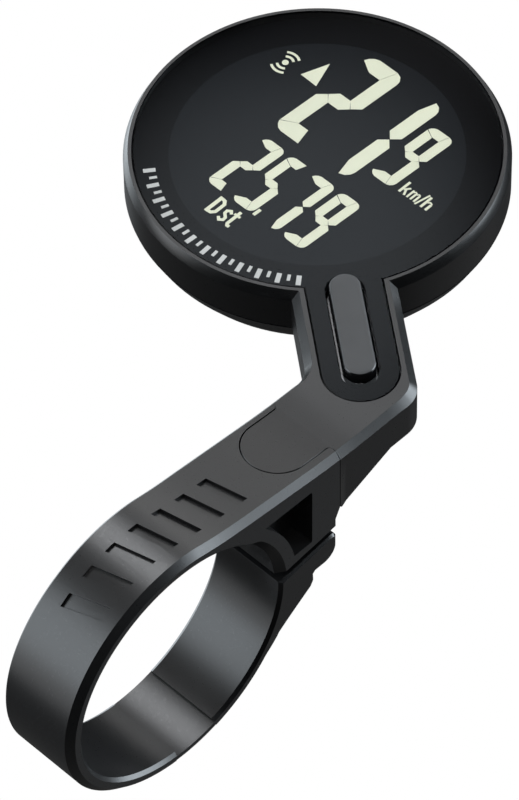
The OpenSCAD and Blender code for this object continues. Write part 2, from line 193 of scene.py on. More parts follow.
def lifted(points, z):
    return [(p.x, p.y, z) for p in points]


# ---- mesh building -------------------------------------------------------------------


class Build:
    """Vertices in millimetres and the faces of one piece."""

    def __init__(self):
        self.v, self.f = [], []

    def loop(self, points):
        start = len(self.v)
        self.v += [tuple(p) for p in points]
        return list(range(start, start + len(points)))

    def ladder(self, a, b):
        """Quads between two open rows of the same count."""
        for k in range(len(a) - 1):
            self.f.append((a[k], a[k + 1], b[k + 1], b[k]))

    def skin(self, a, b):
        """Quads between two closed loops of the same count."""
        self.ladder(a + a[:1], b + b[:1])

    def stack(self, loops):
        made = [self.loop(points) for points in loops]
        for a, b in zip(made, made[1:]):
            self.skin(a, b)
        return made

    def cap(self, loops, axes=(0, 1)):
        """Triangles over an outline and its holes, flat in the given two axes."""
        flat = [i for loop in loops for i in loop]
        across, up = axes
        seen = [[Vector((self.v[i][across], self.v[i][up], 0)) for i in loop] for loop in loops]
        for found in tessellate_polygon(seen):
            corners = tuple(flat[k] for k in found)
            if len(set(corners)) == 3:
                self.f.append(corners)

    def ends(self, made):
        """One many-sided face over each end of a stack."""
        self.f += [tuple(made[0]), tuple(made[-1])]


def soften(ob, sharp=SHARP):
    mesh = ob.data
    mesh.polygons.foreach_set("use_smooth", [True] * len(mesh.polygons))
    mesh.set_sharp_from_angle(angle=math.radians(sharp))


def make(name, build, sharp=SHARP):
    mesh = bpy.data.meshes.new(name)
    mesh.from_pydata([Vector(p) * MM for p in build.v], [], build.f)
    bm = bmesh.new()
    bm.from_mesh(mesh)
    bmesh.ops.remove_doubles(bm, verts=bm.verts, dist=WELD)
    bmesh.ops.dissolve_degenerate(bm, edges=bm.edges, dist=SLIVER)
    bmesh.ops.recalc_face_normals(bm, faces=bm.faces)
    bm.to_mesh(mesh)
    bm.free()
    ob = bpy.data.objects.new(name, mesh)
    bpy.context.scene.collection.objects.link(ob)
    soften(ob, sharp)
    return ob


def flat_tops(ob):
    """Level faces shade dead flat."""
    for face in ob.data.polygons:
        if abs(face.normal.z) > 0.99:
            face.use_smooth = False
    return ob


def carve(ob, cutters):
    """Cuts the given builds away, with the result made the object's own mesh."""
    tools = []
    for k, cutter in enumerate(cutters):
        tool = make(f"tool_{k}", cutter)
        tools.append(tool)
        cut = ob.modifiers.new(f"cut_{k}", "BOOLEAN")
        cut.object, cut.operation, cut.solver = tool, "DIFFERENCE", "EXACT"
    bpy.context.view_layer.update()
    graph = bpy.context.evaluated_depsgraph_get()
    rest = bpy.data.meshes.new_from_object(ob.evaluated_get(graph))
    ob.modifiers.clear()
    whole, ob.data = ob.data, rest
    bpy.data.meshes.remove(whole)
    for tool in tools:
        mesh = tool.data
        bpy.data.objects.remove(tool)
        bpy.data.meshes.remove(mesh)
    soften(ob)


def edges(ob, width):
    """Small rounded edges."""
    bevel = ob.modifiers.new("edges", "BEVEL")
    bevel.width = width * MM
    bevel.segments = 2
    bevel.limit_method = "ANGLE"
    bevel.angle_limit = math.radians(30)
    bevel.harden_normals = True
    bevel.use_clamp_overlap = True


def place(ob, body, slot, stands_for, *finishes):
    for finish in finishes:
        ob.data.materials.append(finish)
    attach(ob, body)
    if stands_for:
        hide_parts(stands_for)


def solid(loop, levels):
    """A closed solid from a counter-clockwise (x, y) loop and (inset, z) levels."""
    b = Build()
    made = b.stack([lifted(inset(loop, d), z) for d, z in levels])
    b.cap([made[0]])
    b.cap([made[-1]])
    return b


def prism(loop, low, high):
    return solid(ccw(loop), [(0, low), (0, high)])


# ---- materials -----------------------------------------------------------------------


class Shader:
    """Adds nodes to a material's or a world's tree."""

    def __init__(self, owner):
        owner.use_nodes = True
        self.tree = owner.node_tree
        self.nodes = owner.node_tree.nodes

    def feed(self, socket, value):
        """Sets a socket to a constant, or joins it to another node's output."""
        if isinstance(value, bpy.types.NodeSocket):
            self.tree.links.new(value, socket)
        else:
            socket.default_value = value

    def add(self, kind, inputs=(), operation=None):
        made = self.nodes.new("ShaderNode" + kind)
        if operation:
            made.operation = operation
        for name, value in dict(inputs).items():
            self.feed(made.inputs[name], value)
        return made

    def mixed(self, share, a, b):
        """The colour that lies between a and b."""
        mix = self.nodes.new("ShaderNodeMix")
        mix.data_type = "RGBA"
        for name, value in (("Factor", share), ("A", a), ("B", b)):
            self.feed(mix.inputs[name], value)
        return mix.outputs["Result"]

    def surface(self, share, a, b):
        """Makes the material's surface a mix of two shaders."""
        mix = self.add("MixShader", {"Fac": share, 1: a, 2: b})
        self.feed(self.nodes["Material Output"].inputs["Surface"], mix.outputs[0])


BROAD = 9.0  # size of the slow change of colour
NOISE_LOW, NOISE_HIGH = 0.3, 0.7  # most of a noise texture lies between these
EDGE_LOW, EDGE_HIGH = 0.515, 0.62  # pointiness where wear begins and where it is full


def material(
    name,
    colour,
    rough=0.4,
    spec=0.5,
    metallic=0.0,
    grain=0.35,
    bump=0.25,
    vary=0.12,
    wear=0.0,
    rough_vary=0.06,
    sheen=0.0,
):
    """Moulded or machined surface: grain is the size of its texture in millimetres."""
    made = bpy.data.materials.new(name)
    shader = Shader(made)
    surface = shader.nodes["Principled BSDF"].inputs
    surface["Metallic"].default_value = metallic
    surface["Specular IOR Level"].default_value = spec
    surface["Sheen Weight"].default_value = sheen
    where = shader.add("TexCoord").outputs["Object"]

    def noise(size, detail):
        inputs = {"Scale": 1.0 / (size * MM), "Detail": detail, "Roughness": 0.55, "Vector": where}
        return shader.add("TexNoise", inputs).outputs["Fac"]

    def spread(value, low, high):
        inputs = {"From Min": NOISE_LOW, "From Max": NOISE_HIGH, "To Min": low, "To Max": high}
        return shader.add("MapRange", {"Value": value, **inputs}).outputs["Result"]

    broad, fine = noise(BROAD, 2.0), noise(grain, 4.0)
    dark = (*[c * (1 - vary) for c in colour], 1)
    light = (*[min(1, c * (1 + vary)) for c in colour], 1)
    out = shader.mixed(spread(broad, 0, 1), dark, light)
    if wear:
        point = shader.add("NewGeometry").outputs["Pointiness"]
        inputs = {"Value": point, "From Min": EDGE_LOW, "From Max": EDGE_HIGH, "To Max": wear}
        share = shader.add("MapRange", inputs).outputs["Result"]
        out = shader.mixed(share, out, (*[min(1, c * 2.2 + 0.02) for c in colour], 1))
    shader.feed(surface["Base Color"], out)
    shader.feed(surface["Roughness"], spread(fine, rough - rough_vary, rough + rough_vary))
    relief = shader.add("Bump", {"Strength": bump, "Distance": 0.02 * MM, "Height": fine})
    shader.feed(surface["Normal"], relief.outputs["Normal"])
    return made


def glass(name):
    """Clear hard-coated acrylic: what lies under it shows, and it mirrors more at a slant."""
    made = bpy.data.materials.new(name)
    shader = Shader(made)
    mirror = shader.nodes["Principled BSDF"]
    mirror.inputs["Base Color"].default_value = (0.95, 0.97, 1, 1)
    mirror.inputs["Metallic"].default_value = 1.0
    where = shader.add("TexCoord").outputs["Object"]
    noise = shader.add("TexNoise", {"Scale": 1.0 / (6 * MM), "Vector": where}).outputs["Fac"]
    rough = shader.add("MapRange", {"Value": noise, "To Min": 0.0, "To Max": 0.02})
    shader.feed(mirror.inputs["Roughness"], rough.outputs["Result"])
    clear = shader.add("BsdfTransparent", {"Color": (0.97, 0.975, 0.98, 1)})
    slant = shader.add("Fresnel", {"IOR": 1.5}).outputs[0]
    behind = shader.add("NewGeometry").outputs["Backfacing"]
    outer = shader.add("Math", {0: 1.0, 1: behind}, "SUBTRACT").outputs[0]
    share = shader.add("Math", {0: slant, 1: outer}, "MULTIPLY").outputs[0]
    shader.surface(share, clear.outputs[0], mirror.outputs[0])
    return made


PLASTIC = material(
    "moulded_plastic",
    (0.0024, 0.0025, 0.0028),
    0.3,
    grain=0.22,
    bump=0.12,
    wear=0.25,
    rough_vary=0.03,
)
BACK = material("moulded_back", (0.005, 0.0051, 0.0055), 0.42, grain=0.3, bump=0.4, wear=0.3)
PRINT = material(
    "lens_border_print", (0.0022, 0.0022, 0.0027), 0.7, spec=0.0, grain=0.6, bump=0.002
)
PANEL = material(
    "display_panel", (0.0085, 0.0095, 0.011), 0.6, spec=0.0, grain=0.8, bump=0.002, vary=0.05
)
DIGIT = material(
    "display_segment", (0.83, 0.82, 0.62), 0.6, spec=0.2, grain=0.5, bump=0.05, vary=0.03
)
MARK = material("pale_print", (0.62, 0.61, 0.58), 0.55, grain=0.3, bump=0.1, vary=0.08)
CAP = material(
    "button_plastic", (0.062, 0.063, 0.065), 0.55, spec=0.35, grain=0.16, bump=0.35, wear=0.2
)
CAP_SIDE = material(
    "button_gloss", (0.003, 0.003, 0.0033), 0.2, grain=0.3, bump=0.05, rough_vary=0.04
)
RUBBER = material("seal_rubber", (0.016, 0.016, 0.016), 0.75, grain=0.25, bump=0.6, sheen=0.1)
STEEL = material(
    "plated_steel", (0.56, 0.57, 0.58), 0.28, metallic=1.0, grain=0.15, bump=0.2, wear=0.2
)
DARK_STEEL = material(
    "black_steel", (0.06, 0.062, 0.066), 0.34, metallic=1.0, grain=0.12, bump=0.25, wear=0.5
)
BRASS = material("knurled_brass", (0.62, 0.43, 0.17), 0.33, metallic=1.0, grain=0.2, bump=0.3)
BOARD = material("board_mask", (0.012, 0.085, 0.04), 0.35, grain=0.5, bump=0.3, vary=0.25)
CHIP = material("chip_epoxy", (0.018, 0.018, 0.019), 0.6, grain=0.1, bump=0.5)
CERAMIC = material("ceramic", (0.62, 0.58, 0.48), 0.5, grain=0.15, bump=0.3, vary=0.1)
GOLD = material("gold_plating", (0.75, 0.55, 0.22), 0.3, metallic=1.0, grain=0.2, bump=0.15)
WHITE = material("frame_white", (0.62, 0.62, 0.59), 0.5, grain=0.3, bump=0.3)
FOIL = material("reflector_foil", (0.3, 0.31, 0.31), 0.45, grain=0.4, bump=0.2)
LENS_GLASS = glass("clear_lens")


# ---- the case with its neck, elbow and tongue ----------------------------------------


def arm_top(y):
    """Level with the rim past the elbow, then a soft bend into the arm's slope."""
    t = SEAM_Y + BEND_HALF - y
    if t <= 0:
        return RIM_Z
    if t < 2 * BEND_HALF:
        return RIM_Z + ARM_SLOPE * t * t / (4 * BEND_HALF)
    return RIM_Z + ARM_SLOPE * (SEAM_Y - y)


def tongue_loop(grow=0.0):
    """The tongue's edge: from the seam into its left side, round its tip, and out again."""
    r = ROOT_R - grow
    left, right = TONGUE.x - TONGUE_R - grow, TONGUE.x + TONGUE_R + grow
    left_root = arc(left - r, SEAM_Y - r, r, 90, 0, 6)
    tip = arc(TONGUE.x, TONGUE.y, TONGUE_R + grow, 180, 360, 40)
    right_root = arc(right + r, SEAM_Y - r, r, 180, 90, 6)
    return left_root, tip, right_root


def case_outline():
    """(point, bevel width, bevel depth, is on the tongue); a bevel is that of the edge after."""
    angle = math.degrees(math.asin(NECK_HALF / HEAD_R))
    neck_start = HEAD_R * math.cos(math.radians(angle))
    rows = []

    def add(points, width, depth, tongue=False):
        rows.extend([p, width, depth, tongue] for p in points)

    elbow_x = BAND_X - ELBOW_R
    elbow = Vector((elbow_x, HEAD.y + (NECK_HALF - ELBOW_R - N.x * (elbow_x - HEAD.x)) / N.y))
    right = [Vector((BAND_X, y)) for y in (SEAM_Y, 27, 28, 29, 31.5, ELBOW_Y, 36.0)]
    add(right, RIGHT_BEVEL, RIGHT_BEVEL)
    turn = math.degrees(math.atan2(N.y, N.x))
    add(arc(elbow.x, elbow.y, ELBOW_R, 0, turn, 14), NECK_BEVEL, NECK_BEVEL)
    for s in spaced((elbow - HEAD).dot(U), neck_start, 6)[1:-1]:
        add([HEAD + U * s + N * NECK_HALF], NECK_BEVEL, NECK_BEVEL)
    add(along_neck(arc(0, 0, HEAD_R, angle, 360 - angle, 168)), RIM_BEVEL, RIM_DROP)
    rows[-1][1:3] = [NECK_BEVEL, NECK_BEVEL]
    # down the neck's left side and round the concave corner, where the bevel narrows
    end = (ARM_X - HEAD.x + N.x * NECK_HALF) / U.x
    tangent = FOOT_R * math.tan(math.radians((90 - NECK_TURN) / 2))
    bend = min((ELBOW_Y - HEAD.y + N.y * NECK_HALF) / U.y, end - tangent - 0.3)
    for s in spaced(neck_start, bend, 5)[1:]:
        add([HEAD + U * s - N * NECK_HALF], NECK_BEVEL, NECK_BEVEL)
    corner = HEAD + U * (end - tangent) - N * (NECK_HALF + FOOT_R)
    points = arc(corner.x, corner.y, FOOT_R, 90 - NECK_TURN, 0, 22)
    for k, p in enumerate(points):
        width = NECK_BEVEL + (LEFT_BEVEL - NECK_BEVEL) * (k + 1) / len(points)
        add([p], width, width)
    add([Vector((ARM_X, y)) for y in (29, 28, 27, SEAM_Y)], LEFT_BEVEL, LEFT_BEVEL)
    rows[-1][1:3] = [TONGUE_BEVEL, TONGUE_BEVEL]
    left_root, tip, right_root = tongue_loop()
    left = [Vector((TONGUE.x - TONGUE_R, y)) for y in ROOT_Y]
    right = [Vector((TONGUE.x + TONGUE_R, y)) for y in ROOT_Y[::-1]]
    add(left_root + left + tip + right + right_root, TONGUE_BEVEL, TONGUE_BEVEL, True)
    return rows


def build_case():
    outline, widths, depths, on_tongue = (list(column) for column in zip(*case_outline()))
    n = len(outline)
    drop = [TONGUE_BEVEL if on_tongue[i] else max(depths[i], depths[i - 1]) for i in range(n)]
    below = [Vector((p.x, SEAM_Y)) if t else p for p, t in zip(outline, on_tongue)]
    foot = 0.25  # bevel of the lower edge

    def under(p):
        """Level under the head and neck, then down to the foot of the seam."""
        if p.y > ELBOW_Y:
            return FLOOR_Z
        return FLOOR_Z - (ELBOW_Y - p.y) * (FLOOR_Z - SEAM_Z) / (ELBOW_Y - SEAM_Y)

    bottom = []
    for i, p in enumerate(below):
        if on_tongue[i] or abs(p.y - SEAM_Y) < 1e-6:
            bottom.append(Vector((p.x, p.y + foot)))
        else:
            way = (p - below[i - 1]) + (below[(i + 1) % n] - p)
            bottom.append(p + Vector((-way.y, way.x)).normalized() * foot)
    b = Build()
    made = b.stack(
        [
            [(p.x, p.y, arm_top(p.y)) for p in inset(outline, widths)],
            [(p.x, p.y, arm_top(p.y) - d) for p, d in zip(outline, drop)],
            lifted(outline, SEAT_Z),
            lifted(below, SEAT_Z),
            [(p.x, p.y, under(p) + 0.3) for p in below],
            [(p.x, p.y, under(p)) for p in bottom],
        ]
    )
    # the lens's pocket, the ledge it lies on and the hollow below
    pocket = lens_loop(LENS_R + 0.07, TAIL_W + 0.14)
    opening = lens_loop(LENS_R - 1.1, 7.0)
    hollow = lens_loop(HEAD_R - 1.5, 7.8, TAIL_REACH + 1)
    ledge_z, ledge_under = LENS_Z - 1.35, LENS_Z - 2.35
    inner = b.stack(
        [
            lifted(pocket, RIM_Z),
            lifted(pocket, ledge_z),
            lifted(opening, ledge_z),
            lifted(opening, ledge_under),
            lifted(hollow, ledge_under),
            [(p.x, p.y, under(p)) for p in hollow],
        ]
    )
    # the level top takes triangles; the bent elbow and the tongue take strips across
    front = [i for i, t in zip(made[0], on_tongue) if not t]
    b.cap([front[3:-3], inner[0]])
    b.ladder(front[:4], front[-4:][::-1])
    tongue = [i for i, t in zip(made[0], on_tongue) if t]
    half = len(tongue) // 2
    b.ladder(tongue[:half], tongue[-half:][::-1])
    if len(tongue) % 2:
        b.f.append(tuple(tongue[half - 1 : half + 2]))
    b.cap([made[-1], inner[-1]])
    return b


case = make("upper_case_shell", build_case(), sharp=28)
edges(case, SOFT_CASE)
place(case, "bracket", "case_plastic", "upper_case", PLASTIC)


# ---- lens, border print, display -----------------------------------------------------

# (inset, depth below the lens's top) of its rounded upper edges
LENS_EDGE = [(0.18, 0), (0.05, 0.05), (0, 0.18)]
SLOT_EDGE = [(0.12, 0), (0.03, 0.03), (0, 0.12)]


def build_lens():
    b = Build()
    outline, slot = lens_loop(LENS_R, TAIL_W), stadium(SLOT_NEAR, SLOT_FAR, SLOT_W)
    foot = lifted(outline, PRINT_Z + 0.02)
    outer = b.stack([lifted(inset(outline, d), LENS_Z - z) for d, z in LENS_EDGE] + [foot])
    foot = lifted(slot, PRINT_Z + 0.02)
    hole = b.stack([lifted(inset(slot, -d), LENS_Z - z) for d, z in SLOT_EDGE] + [foot])
    b.cap([outer[0], hole[0]])
    b.cap([outer[-1], hole[-1]])
    return b


lens = flat_tops(make("lens_clear_body", build_lens()))
place(lens, "bracket", "lens_black", "lens", LENS_GLASS)


def build_print():
    b = Build()
    edge = inset(lens_loop(LENS_R, TAIL_W), 0.02)
    shapes = (edge, stadium(SLOT_NEAR, SLOT_FAR, SLOT_W - 0.04), circle(WINDOW_R))
    loops = [[b.loop(lifted(s, z)) for s in shapes] for z in (PRINT_Z, PRINT_Z - 0.2)]
    for upper, lower in zip(*loops):
        b.skin(upper, lower)
    b.cap(loops[0])
    b.cap(loops[1])
    return b


border = make("lens_border", build_print())
place(border, "bracket", "lens_black", None, PRINT)

panel = solid(circle(WINDOW_R + 0.5), [(0, PRINT_Z - 0.02), (0, PRINT_Z - 0.3)])
place(make("display_panel", panel), "bracket", "lcd_dark", "lcd_glass", PANEL)


LIT = {1: "bc", 2: "abged", 5: "afgcd", 7: "abc", 9: "abcdfg"}
LEAN = 0.042  # how far a digit leans over for each millimetre of its height
SHIFT = Vector((-0.56, 0.55))  # the display lies under the lens

# figure, left, bottom, width, height, thickness of the upright bars and of the level ones
FIGURES = [
    (2, -6.5, -1.1, 5.7, 16.6, 2.0, 2.35),
    (1, 0.25, -1.15, 5.75, 16.3, 2.0, 2.35),
    (9, 7.15, 1.5, 3.65, 10.7, 1.3, 1.4),
    (2, -6.0, -12.95, 3.4, 9.95, 1.25, 1.33),
    (5, -1.8, -12.95, 3.4, 9.95, 1.25, 1.33),
    (7, 2.38, -12.95, 3.4, 9.95, 1.25, 1.33),
    (9, 6.6, -12.95, 3.4, 9.95, 1.25, 1.33),
]
POINT_AND_ARROW = [
    [(1.78, -12.95), (2.22, -12.95), (2.26, -11.8), (1.82, -11.8)],
    [(-9.8, 7.2), (-7.1, 7.1), (-8.45, 10.9)],
]
SIGNAL = (-12.53, 7.3)
# strokes of the speed unit and of the lower figure's name: place, then (width, points)
SPEED_UNIT = (11.9, 1.75), [
    (0.34, [(0, 0), (0, 2)]),
    (0.272, [(0.21, 0.62), (0.78, 1.34)]),
    (0.289, [(0.46, 0.78), (0.82, 0)]),
    (0.2788, [(1.28, 0), (1.28, 1.36)]),
    (0.2788, [(1.83, 0), (1.83, 1.1)]),
    (0.2788, [(2.38, 0), (2.38, 1.1)]),
    (0.17, [(1.43, 1.05), (1.6, 1.3), (1.83, 1.22), (1.85, 1.11)]),
    (0.17, [(1.98, 1.05), (2.15, 1.3), (2.38, 1.22), (2.4, 1.11)]),
    (0.238, [(2.72, -0.15), (3.18, 2.1)]),
    (0.34, [(3.55, 0), (3.55, 2)]),
    (0.34, [(4.31, 0), (4.31, 1.05)]),
    (0.204, [(3.73, 1.05), (3.97, 1.3), (4.29, 1.2), (4.33, 1.07)]),
]
LOWER_NAME = (-2.6, -16.45), [
    (0.5, [(0, 0), (0, 2.95)]),
    (0.45, [(0.27, 2.73), (0.62, 2.67), (0.98, 2.23), (0.98, 0.72), (0.62, 0.28), (0.27, 0.22)]),
    (
        0.39,
        [(2.67, 1.72), (2.32, 2.06), (1.9, 1.78), (1.94, 1.34)]
        + [(2.5, 0.86), (2.54, 0.42), (2.14, 0.1), (1.72, 0.46)],
    ),
    (0.43, [(3.3, 2.75), (3.3, 0.4), (3.5, 0.12), (3.85, 0.14)]),
    (0.35, [(2.88, 2.04), (3.06, 2.04)]),
    (0.35, [(3.54, 2.04), (3.82, 2.04)]),
]


def digit_bars(figure, w, h, t, s):
    """Bars of a digit w wide and h tall, with upright bars t wide and level bars s thick."""
    m, q, gap = h / 2, 0.44 * s, 0.05

    def corner(y, way):
        """The rounded corner at the right end of y, from the level side to the upright one."""
        return [
            (w - 0.66 * t, y),
            (w - 0.3 * t, y - way * 0.12 * s),
            (w - 0.07 * t, y - way * 0.36 * s),
            (w, y - way * 0.62 * s),
        ]

    bars = {
        "a": [(0, h - 0.55 * s), (0.14 * t, h - 0.3 * s), (0.38 * t, h - 0.1 * s), (0.7 * t, h)]
        + [(w - 0.66 * t - gap, h), (w - t - gap, h - s), (t, h - s), (0.85 * t, h - 0.96 * s)],
        "b": corner(h, 1) + [(w, m + q), (w - 0.5 * t, m + gap), (w - t, m + q), (w - t, h - s)],
        "g": [(0.5 * t + gap, m), (t, m + q), (w - t, m + q)]
        + [(w - 0.5 * t - gap, m), (w - t, m - q), (t, m - q)],
        "c": corner(0, -1) + [(w, m - q), (w - 0.5 * t, m - gap), (w - t, m - q), (w - t, s)],
        "d": [(0, 0.5 * s), (0.14 * t, 0.28 * s), (0.38 * t, 0.09 * s), (0.7 * t, 0)]
        + [(w - 0.66 * t - gap, 0), (w - t - gap, s), (t, s)],
        "e": [(0, 0.5 * s + 2 * gap), (t, s + gap), (t, m - q), (0.5 * t, m - gap), (0, m - q)],
        "f": [(0, h - 0.6 * s - gap), (t, h - s - 2 * gap), (t, m + q)]
        + [(0.5 * t, m + gap), (0, m + q)],
    }
    return [bars[k] for k in LIT[figure]]


def stroke(points, width):
    """A flat stroke of even width through points, as one closed loop with mitred corners."""
    points = [Vector(p) for p in points]
    runs = [(b - a).normalized() for a, b in zip(points, points[1:])]
    left, right = [], []
    for p, before, after in zip(points, runs[:1] + runs, runs + runs[-1:]):
        n1, n2 = Vector((-before.y, before.x)), Vector((-after.y, after.x))
        side = (n1 + n2) / max(0.4, 1 + n1.dot(n2)) * width / 2
        left.append(tuple(p + side))
        right.append(tuple(p - side))
    return left + right[::-1]


def display_shapes():
    shapes = []
    for figure, x, y, *size in FIGURES:
        for bar in digit_bars(figure, *size):
            shapes.append([(x + px + LEAN * py, y + py) for px, py in bar])
    shapes += POINT_AND_ARROW
    shapes.append(arc(*SIGNAL, 0.42, 0, 345, 23))
    for radius, half in ((1.0, 42), (1.72, 37)):
        for middle in (90, 270):
            shapes.append(stroke(arc(*SIGNAL, radius, middle - half, middle + half, 12), 0.33))
    for (x, y), strokes in (SPEED_UNIT, LOWER_NAME):
        for width, points in strokes:
            shapes.append(stroke([(x + px, y + py) for px, py in points], width))
    return [[HEAD + SHIFT + Vector(p) for p in shape] for shape in shapes]


def flat_shapes(shapes, low, high):
    b = Build()
    for shape in shapes:
        loop = ccw(shape)
        lower, upper = b.stack([lifted(loop, low), lifted(loop, high)])
        b.cap([lower])
        b.cap([upper])
    return b


figures = flat_shapes(display_shapes(), PRINT_Z - 0.03, PRINT_Z + 0.01)
segments = flat_tops(make("display_segments", figures))
place(segments, "bracket", "segment_cream", "lcd_segments", DIGIT)

# plain scale on the border: long and short strokes in turn, (half width, length)
TICKS, TICK_R, TICK_FROM, TICK_TO = 23, 19.6, -128, -52
TICK_SIZES = [(0.3, 1.5), (0.2, 0.95)]


def build_scale():
    ticks = []
    for k, angle in enumerate(spaced(TICK_FROM, TICK_TO, TICKS - 1)):
        half, length = TICK_SIZES[k % 2]
        out = polar(1, angle)
        side = Vector((-out.y, out.x)) * half
        foot, tip = HEAD + out * TICK_R, HEAD + out * (TICK_R + length)
        ticks.append([foot - side, foot + side, tip + side, tip - side])
    return flat_shapes(ticks, PRINT_Z - 0.02, PRINT_Z + 0.015)


scale = make("border_ticks", build_scale())
place(scale, "bracket", "segment_cream", None, MARK)


# ---- button --------------------------------------------------------------------------

CAP_Z = box_mm("button_cap")[1].z
CAP_FLANGE = [(-0.8, 12.8), (-0.8, 13.15), (-0.55, 13.3), (0, 13.35)]  # (inset, z)
# (inset, depth below the cap's top)
CAP_EDGE = [(0, 0.42), (0.03, 0.25), (0.12, 0.11), (0.27, 0.03), (0.5, 0), (1.2, 0)]

cap_levels = CAP_FLANGE + [(d, CAP_Z - z) for d, z in CAP_EDGE]
cap_loop = stadium(SLOT_NEAR, SLOT_FAR, CAP_W, 28)
button = make("button_cap_shell", solid(cap_loop, cap_levels), sharp=40)
for face in button.data.polygons:
    on_top = face.normal.z > 0.75 and face.center.z > (CAP_Z - 0.2) * MM
    face.material_index = 0 if on_top else 1
place(button, "button", "button_grey", "button_cap", CAP, CAP_SIDE)


# ---- clamp arm, band and jaw ---------------------------------------------------------

# A row is (point in (y, z), right bevel, left bevel, x of the left side); a bevel is that of
# the edge after its point.


def banded(rows):
    """A solid across the band from counter-clockwise rows."""
    outline, right, left, left_x = (list(column) for column in zip(*rows))
    n = len(rows)
    right_x = [BAND_X - max(right[i], right[i - 1]) for i in range(n)]
    inner_x = [left_x[i] + max(left[i], left[i - 1]) for i in range(n)]
    b = Build()
    levels = [(inset(outline, right), [BAND_X] * n), (outline, right_x)]
    levels += [(outline, inner_x), (inset(outline, left), left_x)]
    made = b.stack([[(x, p.x, p.y) for p, x in zip(points, xs)] for points, xs in levels])
    b.cap([made[0]], axes=(1, 2))
    b.cap([made[-1]], axes=(1, 2))
    return b


def pinched(row):
    """A row whose edge has almost no bevel, where the part meets the hinge web."""
    return (row[0], FINE_BEVEL, FINE_BEVEL, -BAND_X)


OVERHANG = 0.6  # share of the arm's wider left side that is lost over the knee
OVERHANG_FADE = 30  # the rest is lost over this much of the band
MOUTH_EVEN, MOUTH_FADE = 42, 6  # the bore's right bevel is wider up to 42, even again at 48


def arm_rows():
    """The fixed half of the clamp."""
    rows = []
    for y in (SEAM_Y, 23.5, 21, 18.5, 16, 13.5, 11):
        rows.append((Vector((y, arm_top(y))), ARM_BEVEL, LEFT_BEVEL, ARM_X))
    knots = [(13.5, arm_top(13.5)), (11, arm_top(11)), *KNEE, (-1.5, 18.09)]
    knee = smooth_curve(knots, 4)[1:]
    for k, p in enumerate(knee):
        share = k / (len(knee) - 1)
        right = ARM_BEVEL + (RIGHT_BEVEL - ARM_BEVEL) * share
        rows.append((p, right, LEFT_BEVEL, ARM_X - ARM_STEP * share * OVERHANG))
    y, z = KNEE[-1]
    start = math.degrees(math.atan2(z, y)) + 2
    for angle in spaced(start, ARM_END, 96):
        fade = max(0, 1 - (angle - start) / OVERHANG_FADE)
        left = LEFT_BEVEL + (JAW_LEFT - LEFT_BEVEL) * (1 - fade)
        x = -BAND_X + ARM_STEP * (1 - OVERHANG) * fade
        rows.append((polar(RING, angle), RIGHT_BEVEL, left, x))
    rows[-1] = pinched(rows[-1])
    for angle in spaced(ARM_END, MOUTH, 96):
        wide = max(0, min(1, (MOUTH_EVEN + MOUTH_FADE - angle) / MOUTH_FADE))
        rows.append((polar(BORE, angle), BORE_BEVEL + 0.6 * wide, BORE_BEVEL, -BAND_X))
    rows[-1] = (rows[-1][0], JAW_BEVEL, JAW_LEFT, -BAND_X)
    rows.append((Vector((25.4, 2.42)), LEFT_BEVEL, JAW_LEFT, -BAND_X))
    rows.append((Vector((25.4, 3.9)), LEFT_BEVEL, JAW_LEFT, -BAND_X))
    rows.append((Vector((SEAM_Y, SEAM_Z)), 0.1, JAW_LEFT, ARM_X))
    return rows


def jaw_rows():
    """The moving half of the clamp, clockwise from its mouth."""
    rows = []

    def add(points, right=JAW_BEVEL, left=JAW_LEFT):
        rows.extend((Vector(p), right, left, -BAND_X) for p in points)

    add([(y, 0.1 + 0.139 * (y - BORE)) for y in spaced(BORE, 24.0, 4)])  # the sloping mouth
    add(arc(24.6, 0.49, 0.8, 82, 0, 5))
    add(arc(23.2, -0.6, 2.2, 0, -90, 12))
    notch = [Vector(p) for p in ((21.75, -2.8), (21.55, -3.0), (21.6, -4.1), (21.1, -5.0))]
    add(notch, LEFT_BEVEL)
    add([notch[-1].lerp(Vector((15.9, -8.75)), k / 4) for k in (1, 2, 3)])
    for k, angle in enumerate(spaced(-29.2, JAW_END, 24)):
        right = JAW_BEVEL + (RIGHT_BEVEL - JAW_BEVEL) * min(1, k / 5)
        add([polar(RING, angle)], right)
    rows[-1] = pinched(rows[-1])
    add([polar(BORE, angle) for angle in spaced(JAW_END, 0, 48)[:-1]], BORE_BEVEL, BORE_BEVEL)
    return rows


def turned_round(rows):
    """The same outline the other way round, each edge with its own bevels."""
    back = rows[::-1]
    return [(p, *after[1:3], x) for (p, _, _, x), after in zip(back, back[1:] + back[:1])]


def pocket_cutter(x0, x1):
    """The three-cornered pocket between the arm and the bore, cut in from one side."""
    loop = [polar(18.6, angle) for angle in spaced(10.2, 42.6, 16)]
    loop += [Vector(p) for p in ((21.1, 12.45), (21.35, 12.2), (21.25, 3.45), (21.1, 3.3))]
    b = Build()
    made = b.stack([[(x, p.x, p.y) for p in ccw(loop)] for x in (x0, x1)])
    for end in made:
        b.cap([end], axes=(1, 2))
    return b


def groove_cutter(grow):
    """Room in the arm for the tongue, with a fine gap all round it."""
    left_root, tip, right_root = tongue_loop(grow)
    near, far = left_root[0].x - 0.4, right_root[-1].x + 0.4
    loop = [Vector((near, 26.6)), Vector((near, 26.02))] + left_root[1:] + tip
    loop += right_root[:-1] + [Vector((far, 26.02)), Vector((far, 26.6))]
    return prism(loop, 13.5, 18)


